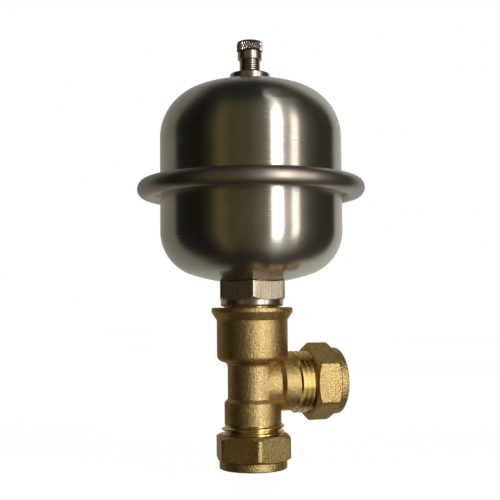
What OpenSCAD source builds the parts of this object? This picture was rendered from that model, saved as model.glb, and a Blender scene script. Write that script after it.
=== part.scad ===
// Water hammer arrestor: a stainless diaphragm vessel with a charging valve, screwed into
// a forged brass tee with two compression ends.
// Origin at the pipe stop of the run end, +Z up the vessel's axis, +X along the branch.

/* [Pipe ends] */
// Outside diameter of the pipe that the ends take
pipe_d = 15; // [14:0.1:16]
// Radial room between the pipe and its socket
pipe_slip = 0.1; // [0.05:0.01:0.2]
// Depth of the pipe socket from the spigot's mouth to the stop
socket_depth = 11; // [10:0.5:14]
// Diameter of the olive's seat at the spigot's mouth
seat_d = 18.6; // [18:0.1:19]
// Half angle of the olive's two seats, in degrees
seat_angle = 30; // [25:1:35]

/* [Tee] */
// Distance from the tee's centre to the mouth of the run spigot
run_arm = 25.2; // [24:0.2:32]
// Distance from the tee's centre to the mouth of the branch spigot
branch_arm = 28; // [26:0.2:34]
// Distance from the tee's centre to the face of the vessel socket
vessel_arm = 27.9; // [25.5:0.2:32]
// Outside diameter of the run body
run_body_d = 18.4; // [17.6:0.1:19.2]
// Outside diameter of the branch body
branch_body_d = 18.2; // [17.4:0.1:19]
// Diameter of the waterway along the run
run_way_d = 12.6; // [11:0.2:13.4]
// Diameter of the waterway along the branch
branch_way_d = 12.4; // [11:0.2:13.2]
// Length of a spigot from its mouth to the start of its shoulder
spigot_len = 19.75; // [18:0.25:20.5]
// Diameter of a spigot behind its thread
spigot_d = 20.9; // [20.2:0.1:21.2]
// Length of the taper from spigot to body
spigot_taper = 1.4; // [1:0.1:2.4]
// Outside diameter of the nut thread
thread_d = 23; // [22.6:0.1:23.4]
// Length of the run's nut thread from its mouth
run_thread_len = 10.8; // [9.6:0.2:12]
// Length of the branch's nut thread from its mouth
branch_thread_len = 13.6; // [12:0.2:14.4]
// Chamfer at the start of the nut thread
thread_chamfer = 0.7; // [0.4:0.1:1]

/* [Vessel socket] */
// Outside diameter of the vessel socket
socket_d = 26.2; // [25.4:0.1:28]
// Distance from the tee's centre to the bottom of the vessel socket's shoulder
socket_foot = 6; // [5:0.2:7]
// Height of the shoulder from the run body to the vessel socket
shoulder_h = 4.4; // [4:0.1:5]
// Radius of the shoulder's outer bend
shoulder_r = 2.4; // [2:0.1:2.8]
// Outside diameter of the socket's rim
rim_d = 30; // [29:0.1:32]
// Height of the rim's upright band
rim_band = 1.7; // [1.2:0.1:2]
// Height of the flare under the rim
rim_flare = 3; // [2.2:0.1:3.6]
// Rounding of the rim's top edge
rim_round = 0.6; // [0.3:0.1:0.8]
// Depth of the tapped hole in the vessel socket
tap_depth = 15; // [14.6:0.2:16]
// Countersink at the mouth of the tapped hole
tap_chamfer = 0.8; // [0.4:0.1:1]

/* [Compression nuts] */
// Width of a nut across its flats
nut_af = 25.6; // [25:0.1:27]
// Full length of a nut
nut_len = 12.5; // [12:0.1:13.5]
// Length of the round collar at a nut's outer end
nut_collar = 3; // [2.6:0.1:3.4]
// Diameter of the round collar
nut_collar_d = 24.9; // [24:0.1:25]
// How far a nut stands out past the spigot's mouth
nut_overhang = 5.6; // [5.3:0.1:6.4]
// Length of the pipe hole in a nut's end wall
nut_wall = 2.2; // [1.8:0.1:2.6]
// Slope of the chamfers on a nut's corners, in degrees
nut_chamfer = 30; // [25:1:35]
// Rounding of the collar's end edge
nut_round = 0.5; // [0.3:0.1:0.8]
// Turn of the run nut as it was left, in degrees
run_nut_turn = 19; // [0:1:59]
// Radial room between a nut and the thread's crests
thread_room = 0.1; // [0.06:0.01:0.2]
// Widest part of an olive
olive_d = 18; // [17.6:0.1:18.2]
// Diameter of an olive at its two ends
olive_end_d = 15.8; // [15.7:0.1:16.2]
// Room between an olive and its seats
olive_gap = 0.1; // [0.05:0.01:0.15]
// Radial room between an olive and the pipe
olive_slip = 0.1; // [0.05:0.01:0.15]

/* [Vessel] */
// Outside diameter of both half shells
shell_d = 67.5; // [62:0.5:72]
// Thickness of the drawn sheet
shell_t = 0.8; // [0.6:0.05:1]
// Height of the upper dome from the seam
upper_depth = 41.2; // [39:0.1:46]
// Height of the lower dome from the seam
lower_depth = 35.1; // [32:0.1:40]
// Radius of the upper dome's crown
upper_crown_r = 62; // [56:1:80]
// Radius of the upper dome's shoulder
upper_knuckle_r = 19.5; // [16:0.5:24]
// Radius of the lower dome's crown
lower_crown_r = 72; // [64:1:110]
// Radius of the lower dome's shoulder
lower_knuckle_r = 16.8; // [12:0.1:20]
// How far the seam ring stands out past the shells
ring_reach = 8.5; // [7.6:0.1:10]
// Height of the seam ring
ring_h = 7; // [6.4:0.1:7.6]
// Thickness of the seam ring's strip
ring_t = 0.8; // [0.6:0.05:1]
// Radius of the bend from a shell's wall into its flange
flange_bend_r = 1; // [0.6:0.1:1.4]
// Room between the seam ring's strip and the edge of the flanges
flange_edge_gap = 2.3; // [2:0.1:2.8]
// Thickness of the diaphragm's rim between the flanges
rim_t = 1.5; // [1.2:0.1:1.8]
// Radius of the bead round the diaphragm's rim
bead_r = 0.95; // [0.8:0.05:1.05]
// Thickness of the diaphragm's bowl
bowl_t = 1.4; // [1:0.1:2]
// Room between the diaphragm's bowl and the lower dome
bowl_gap = 0.4; // [0.3:0.1:0.8]
// Room between clenched, welded and seated faces
seat_gap = 0.05; // [0.03:0.01:0.08]

/* [Connection boss] */
// Width of the boss across its flats
boss_af = 23.6; // [23.2:0.1:26]
// Height of the boss's hexagon up to the lower dome
boss_hex_h = 6; // [5.5:0.1:9]
// Turn of the boss's hexagon, in degrees
boss_turn = 12; // [0:1:59]
// Diameter of the round foot under the hexagon
boss_foot_d = 23.2; // [22.6:0.1:23.4]
// Height of the round foot
boss_foot_h = 2.4; // [1.8:0.1:3]
// Chamfer at the bottom of the round foot
boss_foot_chamfer = 1; // [0.6:0.1:1.3]
// Gap that is left between the round foot and the tee's rim
boss_gap = 0.3; // [0.2:0.1:0.6]
// Diameter over the boss's male pipe thread
boss_thread_d = 20.6; // [20.2:0.1:21]
// Length of the male pipe thread
boss_thread_len = 13; // [11:0.5:14]
// Diameter of the waterway through the boss
boss_way_d = 11; // [9:0.5:13]
// Diameter of the pilot that stands in the lower dome
boss_pilot_d = 16; // [14.5:0.5:18]
// How far the pilot stands up inside the lower dome
boss_pilot_h = 0.6; // [0.3:0.1:0.9]
// Room between the sealing tape and the threads on either side
tape_gap = 0.1; // [0.06:0.01:0.12]
// Thickness of the wound sealing tape
tape_t = 0.25; // [0.2:0.01:0.3]

/* [Charging valve] */
// Diameter of the valve's base collar
collar_d = 15.1; // [13.5:0.1:16]
// Height of the base collar above the upper dome
collar_h = 2.4; // [1.7:0.1:3]
// Rounding of the base collar's top edge
collar_round = 0.5; // [0.3:0.1:1.2]
// Outside diameter of the stem's thread
stem_d = 7.7; // [7.6:0.05:7.9]
// Length of stem that shows between the collar and the cap
stem_show = 5.35; // [4:0.05:7]
// Diameter of the stem's neck through the upper dome
neck_d = 10; // [9:0.5:12]
// How far the neck reaches below the top of the upper dome
neck_reach = 4.5; // [3:0.5:7]
// Diameter of the stem's bore for the core's plug
plug_bore_d = 5.2; // [5.1:0.05:5.3]
// Diameter of the stem's bore below the core's gasket
tail_bore_d = 4.2; // [4:0.05:4.3]

/* [Valve cap] */
// Diameter of the knurled drum
knurl_d = 9.85; // [9.6:0.05:10.4]
// Height of the knurled drum
knurl_h = 4.1; // [3.6:0.1:5]
// Height of the cap's domed top above the drum
cap_dome_h = 0.5; // [0.3:0.1:0.8]
// Chamfer at the drum's two edges
knurl_chamfer = 0.5; // [0.3:0.1:0.7]
// Diameter of the plain skirt
skirt_d = 9.05; // [8.7:0.05:9.2]
// Height of the plain skirt
skirt_h = 2.8; // [2.4:0.1:3.4]
// Thickness of the cap's top at its edge
cap_top_t = 1.2; // [1:0.1:1.5]
// Thickness of the cap's sealing disc
cap_seal_t = 0.9; // [0.7:0.05:1.1]

/* [Valve core] */
// Depth of the core's top below the stem's end
core_recess = 1; // [0.8:0.1:1.4]
// Length of the core's screwed plug
plug_len = 4; // [3.6:0.1:4.4]
// Length of the core's barrel below the plug
barrel_len = 6.5; // [6.3:0.1:7]
// Diameter of the core's barrel
barrel_d = 3.5; // [3.4:0.05:3.6]
// Thickness of the barrel's wall
barrel_t = 0.4; // [0.35:0.01:0.42]
// Length of the gasket under the plug
gasket_len = 1.5; // [1.3:0.1:1.7]
// Diameter of the pin
pin_d = 1; // [0.9:0.05:1.1]
// Radial room round the pin
pin_room = 0.1; // [0.06:0.01:0.12]
// Depth of the pin's end below the stem's end
pin_recess = 0.6; // [0.5:0.1:0.7]
// Thickness of the pin's spring collar
pin_collar_t = 0.5; // [0.4:0.05:0.6]
// Thickness of the pin's rubber washer
pin_seal_t = 1; // [0.8:0.1:1.2]
// Thickness of the cup that carries the washer
cup_t = 0.3; // [0.25:0.05:0.4]
// Diameter of the spring's wire
wire_d = 0.28; // [0.24:0.01:0.3]
// Number of turns in the spring
spring_turns = 5; // [4:1:6]

/* [Hidden] */
$fn = 72;

// Overlap that makes a cut run cleanly through a face
cut = 1;

// Tee heights, from the pipe stop of the run end
mouth_z = -socket_depth;
tee_z = run_arm - socket_depth;
port_z = tee_z + vessel_arm;
bore_r = pipe_d / 2 + pipe_slip;
thread_r = thread_d / 2;
spigot_r = spigot_d / 2;
shoulder_z = tee_z + socket_foot;

// Nut and olive sizes, along a pipe end
nut_z = mouth_z - nut_overhang;
nut_bore_r = thread_r + thread_room;
nut_hole_r = bore_r + pipe_slip;
nut_corner_r = nut_af / sqrt(3);
seat_r = seat_d / 2;
seat_slope = tan(seat_angle);
nut_seat_z = nut_z + nut_wall;
olive_r = olive_d / 2;
olive_end_r = olive_end_d / 2;
olive_bore_r = pipe_d / 2 + olive_slip;
olive_shift = olive_gap / sin(seat_angle);
olive_low_z = nut_seat_z + (olive_end_r - nut_hole_r) / seat_slope + olive_shift;
olive_high_z = mouth_z + (seat_r - olive_end_r) / seat_slope - olive_shift;
olive_taper = (olive_r - olive_end_r) / seat_slope;

// Boss and vessel heights
boss_z = port_z + boss_gap;
hex_z = boss_z + boss_foot_h;
dome_z = hex_z + boss_hex_h;
seam_z = dome_z + lower_depth;
top_z = seam_z + upper_depth;
shell_r = shell_d / 2;
tap_r = boss_thread_d / 2 + tape_gap + tape_t + tape_gap;
boss_corner_r = boss_af / sqrt(3);

// Seam, as distances from its middle plane
flange_inner = rim_t / 2 + seat_gap;
flange_face = flange_inner + shell_t;
slot_half = flange_face + seat_gap;
bead_half = ring_h / 2;
ring_r = shell_r + ring_reach;
ring_out_x = ring_r - bead_half;
ring_in_x = shell_r + flange_bend_r + seat_gap + bead_half;
flange_r = ring_r - ring_t - flange_edge_gap;
bead_x = flange_r + seat_gap + bead_r;

// Valve heights
collar_z = top_z + collar_h;
cap_z = collar_z + stem_show;
drum_z = cap_z + skirt_h;
cap_edge_z = drum_z + knurl_h;
ceiling_z = cap_edge_z - cap_top_t;
stem_z = ceiling_z - cap_seal_t - 2 * seat_gap;
stem_r = stem_d / 2;
cap_bore_r = stem_r + thread_room;
plug_z = stem_z - core_recess;
barrel_z = plug_z - plug_len;
core_end_z = barrel_z - barrel_len;
gasket_z = barrel_z - gasket_len;
pin_r = pin_d / 2;
chamber_r = barrel_d / 2 - barrel_t;
chamber_z = core_end_z + barrel_t * 2;
pin_collar_z = barrel_z - seat_gap - pin_collar_t;
pin_collar_r = chamber_r - pin_room;
washer_r = barrel_d / 2 - pin_room;
washer_z = core_end_z - seat_gap - pin_seal_t;
cup_r = washer_r + seat_gap + cup_t;
cup_z = washer_z - seat_gap - cup_t;
spring_h = pin_collar_z - chamber_z - 2 * seat_gap;
spring_r = (chamber_r + pin_r) / 2;

// Places a shape that is drawn along the run end onto the branch end
module on_branch() {
  translate([branch_arm - socket_depth, 0, tee_z])
    rotate([0, -90, 0])
      children();
}

// Cylinder of a given radius between two heights
module rod(r, z0, z1) {
  translate([0, 0, z0])
    cylinder(r = r, h = z1 - z0);
}

// Solid turned from a half section of straight edges
module turned(points) {
  rotate_extrude()
    polygon(points);
}

// Rectangle between two opposite corners
module square_from(low, high) {
  translate(low)
    square(high - low);
}

// Hexagonal bar of a given corner radius between two heights
module hex_bar(corner_r, z0, z1) {
  translate([0, 0, z0])
    cylinder(r = corner_r, h = z1 - z0, $fn = 6);
}

// Half section of a dome that stands on the seam, pared down by a skin
module dome_section(depth, crown_r, knuckle_r, skin) {
  knuckle_x = shell_r - knuckle_r;
  crown_y = depth - crown_r;
  rise = sqrt(pow(crown_r - knuckle_r, 2) - pow(knuckle_x, 2));
  reach = (crown_r + cut) / (crown_r - knuckle_r);
  intersection() {
    union() {
      square([shell_r - skin, crown_y + rise]);
      translate([knuckle_x, crown_y + rise])
        circle(knuckle_r - skin);
      intersection() {
        translate([0, crown_y])
          circle(crown_r - skin);
        polygon([[0, crown_y], [knuckle_x * reach, crown_y + rise * reach],
                 [knuckle_x * reach, depth + cut], [0, depth + cut]]);
      }
    }
    square([shell_r, depth]);
  }
}

// Solid dome between the seam and its crown
module dome_solid(depth, crown_r, knuckle_r, skin) {
  rotate_extrude()
    dome_section(depth, crown_r, knuckle_r, skin);
}

// Half section of a drawn shell with its out-turned flange
module shell_section(depth, crown_r, knuckle_r) {
  bend_x = shell_r + flange_bend_r;
  bend_y = flange_face + flange_bend_r;
  bend_out = flange_bend_r + shell_t;
  difference() {
    dome_section(depth, crown_r, knuckle_r, 0);
    dome_section(depth, crown_r, knuckle_r, shell_t);
    square([shell_r + cut, bend_y]);
  }
  difference() {
    translate([bend_x, bend_y])
      circle(bend_out);
    translate([bend_x, bend_y])
      circle(flange_bend_r);
    translate([bend_x, bend_y - bend_out - cut])
      square(2 * (bend_out + cut));
    translate([bend_x - bend_out - cut, bend_y])
      square(2 * (bend_out + cut));
  }
  translate([bend_x, flange_inner])
    square([flange_r - bend_x, shell_t]);
}

// Outline of the seam ring's section, pared down by a skin
module ring_outline(skin) {
  for (x = [ring_in_x, ring_out_x])
    translate([x, 0])
      circle(bead_half - skin);
  translate([ring_in_x, skin - bead_half])
    square([ring_out_x - ring_in_x, ring_h - 2 * skin]);
}

module seam_ring() {
  color("gainsboro")
    translate([0, 0, seam_z])
      rotate_extrude()
        difference() {
          ring_outline(0);
          ring_outline(ring_t);
          translate([0, -slot_half])
            square([ring_in_x, 2 * slot_half]);
        }
}

module upper_shell() {
  color("silver")
    translate([0, 0, seam_z])
      difference() {
        rotate_extrude()
          shell_section(upper_depth, upper_crown_r, upper_knuckle_r);
        rod(neck_d / 2 + seat_gap, upper_depth / 2, upper_depth + cut);
      }
}

module lower_shell() {
  color("silver")
    translate([0, 0, seam_z])
      mirror([0, 0, 1])
        difference() {
          rotate_extrude()
            shell_section(lower_depth, lower_crown_r, lower_knuckle_r);
          rod(boss_pilot_d / 2 + seat_gap, lower_depth / 2, lower_depth + cut);
        }
}

module diaphragm() {
  bowl_skin = shell_t + bowl_gap;
  rim_x = shell_r - bowl_skin - bowl_t;
  color("dimgray")
    translate([0, 0, seam_z])
      mirror([0, 0, 1])
        rotate_extrude() {
          difference() {
            dome_section(lower_depth, lower_crown_r, lower_knuckle_r, bowl_skin + boss_pilot_h);
            dome_section(lower_depth, lower_crown_r, lower_knuckle_r, bowl_skin + boss_pilot_h + bowl_t);
          }
          translate([rim_x - boss_pilot_h, -rim_t / 2])
            square([bead_x - rim_x + boss_pilot_h, rim_t]);
          translate([bead_x, 0])
            circle(bead_r);
        }
}

module connection_boss() {
  pilot_z = dome_z + shell_t + boss_pilot_h;
  thread_z = boss_z - boss_thread_len;
  male_r = boss_thread_d / 2;
  foot_r = boss_foot_d / 2;
  hex_top = dome_z + boss_hex_h;
  blank_r = boss_corner_r + cut;
  blank_z = hex_z + (blank_r - foot_r) * tan(nut_chamfer);
  color("darkgray")
    difference() {
      union() {
        difference() {
          intersection() {
            turned([[0, thread_z], [male_r - thread_chamfer, thread_z], [male_r, thread_z + thread_chamfer],
                    [male_r, boss_z], [foot_r - boss_foot_chamfer, boss_z],
                    [foot_r, boss_z + boss_foot_chamfer], [foot_r, hex_z], [blank_r, blank_z],
                    [blank_r, hex_top], [0, hex_top]]);
            rotate(boss_turn)
              hex_bar(boss_corner_r, thread_z - cut, hex_top + cut);
          }
          translate([0, 0, seam_z])
            mirror([0, 0, 1])
              dome_solid(lower_depth + seat_gap, lower_crown_r + seat_gap, lower_knuckle_r, 0);
        }
        rod(boss_pilot_d / 2, hex_z, pilot_z);
      }
      rod(boss_way_d / 2, thread_z - cut, pilot_z + cut);
    }
}

module thread_tape() {
  tape_r = boss_thread_d / 2 + tape_gap;
  tape_low = boss_z - boss_thread_len + thread_chamfer;
  color("white")
    difference() {
      rod(tape_r + tape_t, tape_low, port_z - tap_chamfer);
      rod(tape_r, tape_low - cut, port_z);
    }
}

// One spigot with its thread and taper, run on into the tee's body
module spigot(body_d, body_len, thread_len) {
  thread_end = mouth_z + thread_len;
  taper_end = mouth_z + spigot_len;
  turned([[0, mouth_z], [thread_r - thread_chamfer, mouth_z], [thread_r, mouth_z + thread_chamfer],
          [thread_r, thread_end - thread_r + spigot_r], [spigot_r, thread_end],
          [spigot_r, taper_end - spigot_taper], [body_d / 2, taper_end],
          [body_d / 2, body_len], [0, body_len]]);
}

// Pipe socket with its olive seat and the waterway behind its stop
module pipe_socket(way_d, way_len) {
  seat_end = mouth_z + (seat_r - bore_r) / seat_slope;
  turned([[0, mouth_z - cut], [seat_r + cut * seat_slope, mouth_z - cut], [bore_r, seat_end],
          [bore_r, 0], [way_d / 2, 0], [way_d / 2, way_len], [0, way_len]]);
}

// Half section of the vessel socket above the run body, with its shoulder and rim
module vessel_socket_section() {
  socket_r = socket_d / 2;
  body_r = run_body_d / 2;
  rim_r = rim_d / 2;
  flare_z = port_z - rim_band - rim_flare;
  bend_z = shoulder_z + shoulder_h;
  fillet = shoulder_h - shoulder_r;
  fillet_x = body_r + fillet;
  union() {
    square_from([0, bend_z], [socket_r, flare_z + cut]);
    square_from([0, shoulder_z], [body_r, bend_z]);
    square_from([0, shoulder_z + fillet], [socket_r - shoulder_r, bend_z]);
    translate([socket_r - shoulder_r, bend_z])
      circle(shoulder_r);
    difference() {
      square_from([body_r, shoulder_z], [fillet_x, shoulder_z + fillet]);
      translate([fillet_x, shoulder_z])
        circle(fillet);
    }
    polygon([[0, flare_z], [socket_r, flare_z], [rim_r, flare_z + rim_flare],
             [rim_r, port_z - rim_round], [rim_r - rim_round, port_z], [0, port_z]]);
  }
}

module tee_body() {
  tap_z = port_z - tap_depth;
  branch_way = branch_arm - socket_depth;
  color("goldenrod")
    difference() {
      union() {
        spigot(run_body_d, shoulder_z + cut, run_thread_len);
        rotate_extrude()
          vessel_socket_section();
        on_branch()
          spigot(branch_body_d, branch_way, branch_thread_len);
      }
      pipe_socket(run_way_d, port_z);
      on_branch()
        pipe_socket(branch_way_d, branch_way);
      turned([[0, tap_z], [tap_r, tap_z], [tap_r, port_z - tap_chamfer],
              [tap_r + tap_chamfer + cut, port_z + cut], [0, port_z + cut]]);
    }
}

// One compression nut along the run end, turned about its axis
module nut(turn) {
  collar_r = nut_collar_d / 2;
  hex_start = nut_z + nut_collar;
  face_z = nut_z + nut_len;
  blank_r = nut_corner_r + cut;
  chamfer_rise = (blank_r - collar_r) * tan(nut_chamfer);
  seat_top = nut_seat_z + (seat_r - nut_hole_r) / seat_slope;
  difference() {
    intersection() {
      turned([[0, nut_z], [collar_r - nut_round, nut_z], [collar_r, nut_z + nut_round],
              [collar_r, hex_start], [blank_r, hex_start + chamfer_rise],
              [blank_r, face_z - chamfer_rise], [collar_r, face_z], [0, face_z]]);
      rotate(turn)
        hex_bar(nut_corner_r, nut_z - cut, face_z + cut);
    }
    turned([[0, nut_z - cut], [nut_hole_r, nut_z - cut], [nut_hole_r, nut_seat_z], [seat_r, seat_top],
            [nut_bore_r, seat_top], [nut_bore_r, face_z + cut], [0, face_z + cut]]);
  }
}

// One olive along the run end, tapered to sit between the nut's seat and the spigot's seat
module olive() {
  turned([[olive_bore_r, olive_low_z], [olive_end_r, olive_low_z], [olive_r, olive_low_z + olive_taper],
          [olive_r, olive_high_z - olive_taper], [olive_end_r, olive_high_z],
          [olive_bore_r, olive_high_z]]);
}

module run_nut() {
  color("peru")
    nut(run_nut_turn);
}

module run_olive() {
  color("khaki")
    olive();
}

module branch_nut() {
  color("peru")
    on_branch()
      nut(0);
}

module branch_olive() {
  color("khaki")
    on_branch()
      olive();
}

// Half section of the valve's base collar with its rounded top edge
module collar_section() {
  collar_r = collar_d / 2;
  round_z = collar_z - collar_round;
  square_from([0, seam_z + upper_depth / 2], [collar_r, round_z]);
  square_from([0, round_z - cut], [collar_r - collar_round, collar_z]);
  intersection() {
    translate([collar_r - collar_round, round_z])
      circle(collar_round);
    square_from([0, seam_z], [collar_r, collar_z]);
  }
}

module valve_stem() {
  neck_z = top_z - neck_reach;
  neck_r = neck_d / 2;
  plug_r = plug_bore_d / 2;
  tail_r = tail_bore_d / 2;
  color("lightgray")
    difference() {
      union() {
        difference() {
          rotate_extrude()
            collar_section();
          translate([0, 0, seam_z])
            dome_solid(upper_depth + seat_gap, upper_crown_r + seat_gap, upper_knuckle_r, 0);
        }
        turned([[0, neck_z], [neck_r, neck_z], [neck_r, collar_z - collar_round],
                [stem_r, collar_z - collar_round], [stem_r, stem_z - thread_chamfer],
                [stem_r - thread_chamfer, stem_z], [0, stem_z]]);
      }
      turned([[0, neck_z - cut], [tail_r, neck_z - cut], [tail_r, gasket_z], [plug_r, barrel_z],
              [plug_r, stem_z + cut], [0, stem_z + cut]]);
    }
}

module core_barrel() {
  plug_r = plug_bore_d / 2 - seat_gap;
  hole_r = pin_r + pin_room;
  color("gold")
    turned([[hole_r, core_end_z], [barrel_d / 2, core_end_z], [barrel_d / 2, barrel_z], [plug_r, barrel_z],
            [plug_r, plug_z], [hole_r, plug_z], [hole_r, barrel_z], [chamber_r, barrel_z],
            [chamber_r, chamber_z], [hole_r, chamber_z]]);
}

module core_gasket() {
  hole_r = barrel_d / 2 + seat_gap;
  color("white")
    turned([[hole_r, gasket_z], [tail_bore_d / 2 - seat_gap, gasket_z],
            [plug_bore_d / 2 - seat_gap, barrel_z - seat_gap], [hole_r, barrel_z - seat_gap]]);
}

module valve_pin() {
  pin_end_z = stem_z - pin_recess;
  collar_top = pin_collar_z + pin_collar_t;
  color("gold")
    turned([[0, cup_z - cup_t], [pin_r, cup_z - cup_t], [pin_r, pin_collar_z], [pin_collar_r, pin_collar_z],
            [pin_collar_r, collar_top], [pin_r, collar_top], [pin_r, pin_end_z], [0, pin_end_z]]);
}

module pin_seal() {
  hole_r = pin_r + seat_gap;
  color("black")
    turned([[hole_r, washer_z], [washer_r, washer_z], [washer_r, washer_z + pin_seal_t],
            [hole_r, washer_z + pin_seal_t]]);
}

module seal_cup() {
  cup_lip_z = washer_z + pin_seal_t / 2;
  hole_r = pin_r + seat_gap;
  color("gold")
    turned([[hole_r, cup_z], [cup_r, cup_z], [cup_r, cup_lip_z], [washer_r + seat_gap, cup_lip_z],
            [washer_r + seat_gap, cup_z + cup_t], [hole_r, cup_z + cup_t]]);
}

// Coil of wire in half turns that climb by turns on either side
module pin_spring() {
  climb = (spring_h - wire_d) / (2 * spring_turns);
  lean = asin(climb / (2 * spring_r));
  color("silver")
    translate([0, 0, chamber_z + seat_gap + wire_d / 2])
      for (half = [0 : 2 * spring_turns - 1])
        translate([0, 0, (half + 0.5) * climb])
          rotate([0, 0, 180 * half])
            rotate([0, lean, 0])
              rotate_extrude(angle = 180)
                translate([spring_r, 0])
                  circle(d = wire_d);
}

module valve_cap() {
  drum_r = knurl_d / 2;
  skirt_r = skirt_d / 2;
  dome_r = drum_r - knurl_chamfer;
  dome_ball_r = (pow(dome_r, 2) + pow(cap_dome_h, 2)) / (2 * cap_dome_h);
  color("whitesmoke")
    difference() {
      rotate_extrude() {
        square_from([0, cap_z], [skirt_r, drum_z + cut]);
        polygon([[0, drum_z], [drum_r - knurl_chamfer, drum_z], [drum_r, drum_z + knurl_chamfer],
                 [drum_r, cap_edge_z - knurl_chamfer], [dome_r, cap_edge_z], [0, cap_edge_z]]);
        intersection() {
          translate([0, cap_edge_z + cap_dome_h - dome_ball_r])
            circle(dome_ball_r);
          square_from([0, cap_edge_z - cut / 2], [dome_r, cap_edge_z + cap_dome_h]);
        }
      }
      rod(cap_bore_r, cap_z - cut, ceiling_z);
    }
}

module cap_seal() {
  color("black")
    rod(cap_bore_r - thread_room, stem_z + seat_gap, ceiling_z - seat_gap);
}

tee_body();
lower_shell();
upper_shell();
seam_ring();
diaphragm();
connection_boss();
thread_tape();
valve_stem();
core_barrel();
core_gasket();
valve_pin();
seal_cup();
pin_seal();
pin_spring();
valve_cap();
cap_seal();
run_nut();
run_olive();
branch_nut();
branch_olive();
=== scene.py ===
"""Looks of a water hammer arrestor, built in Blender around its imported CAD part.

A stainless diaphragm vessel with a charging valve stands in a forged brass tee that has two
compression ends. Sizes are in millimetres until a piece is finished, when it is scaled to metres.
"""

import logging
import math
from collections.abc import Sequence
from dataclasses import dataclass
from enum import Enum

import bmesh
import bpy
from bmesh.types import BMEdge, BMesh, BMVert
from bpy.types import Material, Mesh, Node, NodeSocket, NodeTree, Object
from mathutils import Matrix, Vector


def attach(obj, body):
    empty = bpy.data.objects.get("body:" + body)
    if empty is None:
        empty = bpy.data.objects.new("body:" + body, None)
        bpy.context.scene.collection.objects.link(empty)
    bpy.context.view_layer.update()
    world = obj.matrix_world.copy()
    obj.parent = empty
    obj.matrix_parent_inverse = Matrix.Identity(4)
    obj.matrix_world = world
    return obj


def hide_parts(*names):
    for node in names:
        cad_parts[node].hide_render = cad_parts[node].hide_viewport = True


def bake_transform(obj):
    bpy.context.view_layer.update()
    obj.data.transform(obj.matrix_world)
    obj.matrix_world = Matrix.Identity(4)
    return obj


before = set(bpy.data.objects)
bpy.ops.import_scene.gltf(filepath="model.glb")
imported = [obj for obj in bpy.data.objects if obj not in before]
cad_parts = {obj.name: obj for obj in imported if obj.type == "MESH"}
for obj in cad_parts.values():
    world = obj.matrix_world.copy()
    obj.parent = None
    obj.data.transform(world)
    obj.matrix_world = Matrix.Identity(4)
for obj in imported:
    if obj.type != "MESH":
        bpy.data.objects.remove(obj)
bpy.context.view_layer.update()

log = logging.getLogger("arrestor")

MM = 0.001
# Slope of the 30 degree cones on nuts, olive seats and the boss
CONE_SLOPE = math.tan(math.radians(30))
# Steps round the vessel and its ring, which are turned finer than the rest
VESSEL_STEPS = 160
# How far a blank or a cutter reaches past what it makes or cuts
SPARE = 1.0
# A thread ridge: share of its height sunk in the core, half its foot as a share of the pitch,
# bulge of its crest, and the share of a turn in which it fades out
RIDGE_SUNK, RIDGE_HALF, CREST_BULGE, RIDGE_FADE = 0.12, 0.49, 0.04, 0.2
# Distances under which points left by a boolean are welded and slivers dissolved
WELD, SLIVER = 0.004, 0.002
# Length of a tool mark, round the part and up a drawn flat, and width of a metal's tone patches
MARK_ROUND, MARK_UPRIGHT, PATCH = 45.0, 9.0, 9.0
# Band of a noise that holds most of its values
NOISE_BAND = {"From Min": 0.3, "From Max": 0.7}
# Allowance where faces are told apart by their place
NEAR = 0.05
WHITE = (1.0, 1.0, 1.0, 1.0)
Point = tuple[float, float]
Colour = tuple[float, float, float, float]
Inputs = dict[str | int, object]


class Body(str, Enum):
    """Moving bodies of the CAD part that a piece can ride on."""

    FIXED = "vessel_and_tee"
    CORE_PIN = "core_pin"
    CAP = "cap"
    RUN_NUT = "run_nut_body"
    BRANCH_NUT = "branch_nut_body"


class Join(str, Enum):
    """Ways in which two solids are combined."""

    UNION = "UNION"
    DIFFERENCE = "DIFFERENCE"
    INTERSECT = "INTERSECT"


class Lay(Enum):
    """Direction of the fine tool marks on a metal surface, about the part's upright axis."""

    AROUND = "around"
    UPRIGHT = "upright"


def colour(code: str) -> Colour:
    """Turns an sRGB hex code into linear light.

    Args:
        code: six hex digits with a leading hash sign.

    Returns:
        Red, green, blue and an opaque alpha.
    """
    parts = [int(code[i : i + 2], 16) / 255 for i in (1, 3, 5)]
    red, green, blue = (p / 12.92 if p <= 0.04045 else ((p + 0.055) / 1.055) ** 2.4 for p in parts)
    return red, green, blue, 1.0


def arc(centre: Point, radius: float, start: float, end: float, count: int) -> list[Point]:
    """Points along a circular arc in a half section.

    Args:
        centre: radius and height of the arc's centre.
        radius: radius of the arc.
        start: first angle in degrees, from the outward direction.
        end: last angle in degrees.
        count: number of points, both ends included.

    Returns:
        The points in order.
    """
    turns = [math.radians(start + (end - start) * i / (count - 1)) for i in range(count)]
    return [(centre[0] + radius * math.cos(a), centre[1] + radius * math.sin(a)) for a in turns]


def lathe(section: Sequence[Point], steps: int = 96, ring: bool = True) -> BMesh:
    """Turns a half section about the upright axis.

    Args:
        section: radius and height of each corner, in order.
        steps: number of steps round the axis.
        ring: whether the section closes on itself, or starts and ends on the axis.

    Returns:
        A closed mesh in millimetres.
    """
    bm = bmesh.new()
    corners = [bm.verts.new((r, 0.0, z)) for r, z in section]
    pairs = list(zip(corners, corners[1:]))
    if ring:
        pairs.append((corners[-1], corners[0]))
    edges = [bm.edges.new(pair) for pair in pairs]
    bmesh.ops.spin(
        bm,
        geom=corners + edges,
        cent=(0, 0, 0),
        axis=(0, 0, 1),
        angle=math.tau,
        steps=steps,
        use_merge=True,
    )
    bmesh.ops.remove_doubles(bm, verts=bm.verts, dist=1e-4)
    bmesh.ops.recalc_face_normals(bm, faces=bm.faces)
    return bm


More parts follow.
